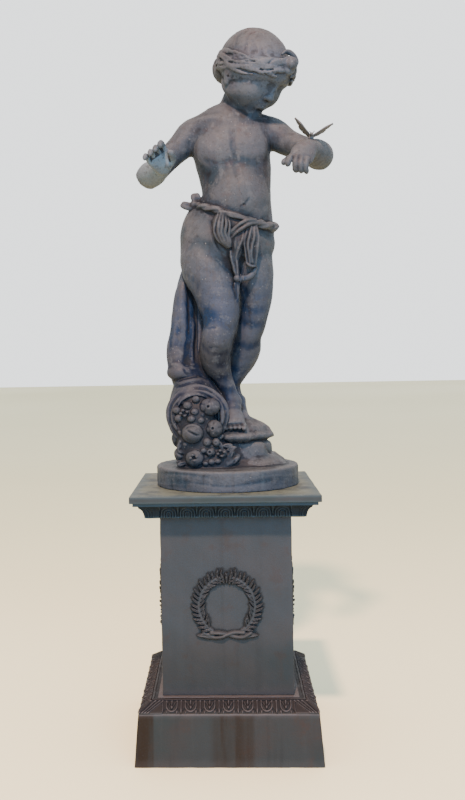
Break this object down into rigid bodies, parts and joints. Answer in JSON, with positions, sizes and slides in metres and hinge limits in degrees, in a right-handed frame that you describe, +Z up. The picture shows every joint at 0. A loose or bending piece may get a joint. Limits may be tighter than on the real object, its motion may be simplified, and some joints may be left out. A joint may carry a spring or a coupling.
{
  "type": "garden statue of a child with a butterfly on a square pedestal",
  "caption": "Weathered cast iron child with a butterfly on one wrist, beside a draped horn of fruit, on a round base and a hollow square pedestal with wreaths.",
  "frame": {"origin": "middle of the bounding box at ground level; the pedestal's own axis stands at x = -0.031 m, y = 0", "axes": "+Z up along the figure, -Y towards the front wreath that the figure's chest faces, +X to the viewer's right, where the arm with the butterfly reaches"},
  "size_m": [0.5238, 0.462, 1.8268],
  "materials": {
    "figure_iron": "weathered, slate grey with a thin brown rust bloom on what faces up",
    "butterfly_iron": "weathered, dull brown grey",
    "cap_iron": "weathered, pale greenish grey dust on top",
    "die_iron": "weathered, even slate grey, rain-streaked",
    "base_iron": "weathered, with brown rust runs"
  },
  "bodies": {
    "root": {"statue": "figure_iron", "butterfly": "butterfly_iron", "pedestal_cap": "cap_iron", "pedestal_die": "die_iron", "pedestal_base": "base_iron"}
  },
  "joints": []
}
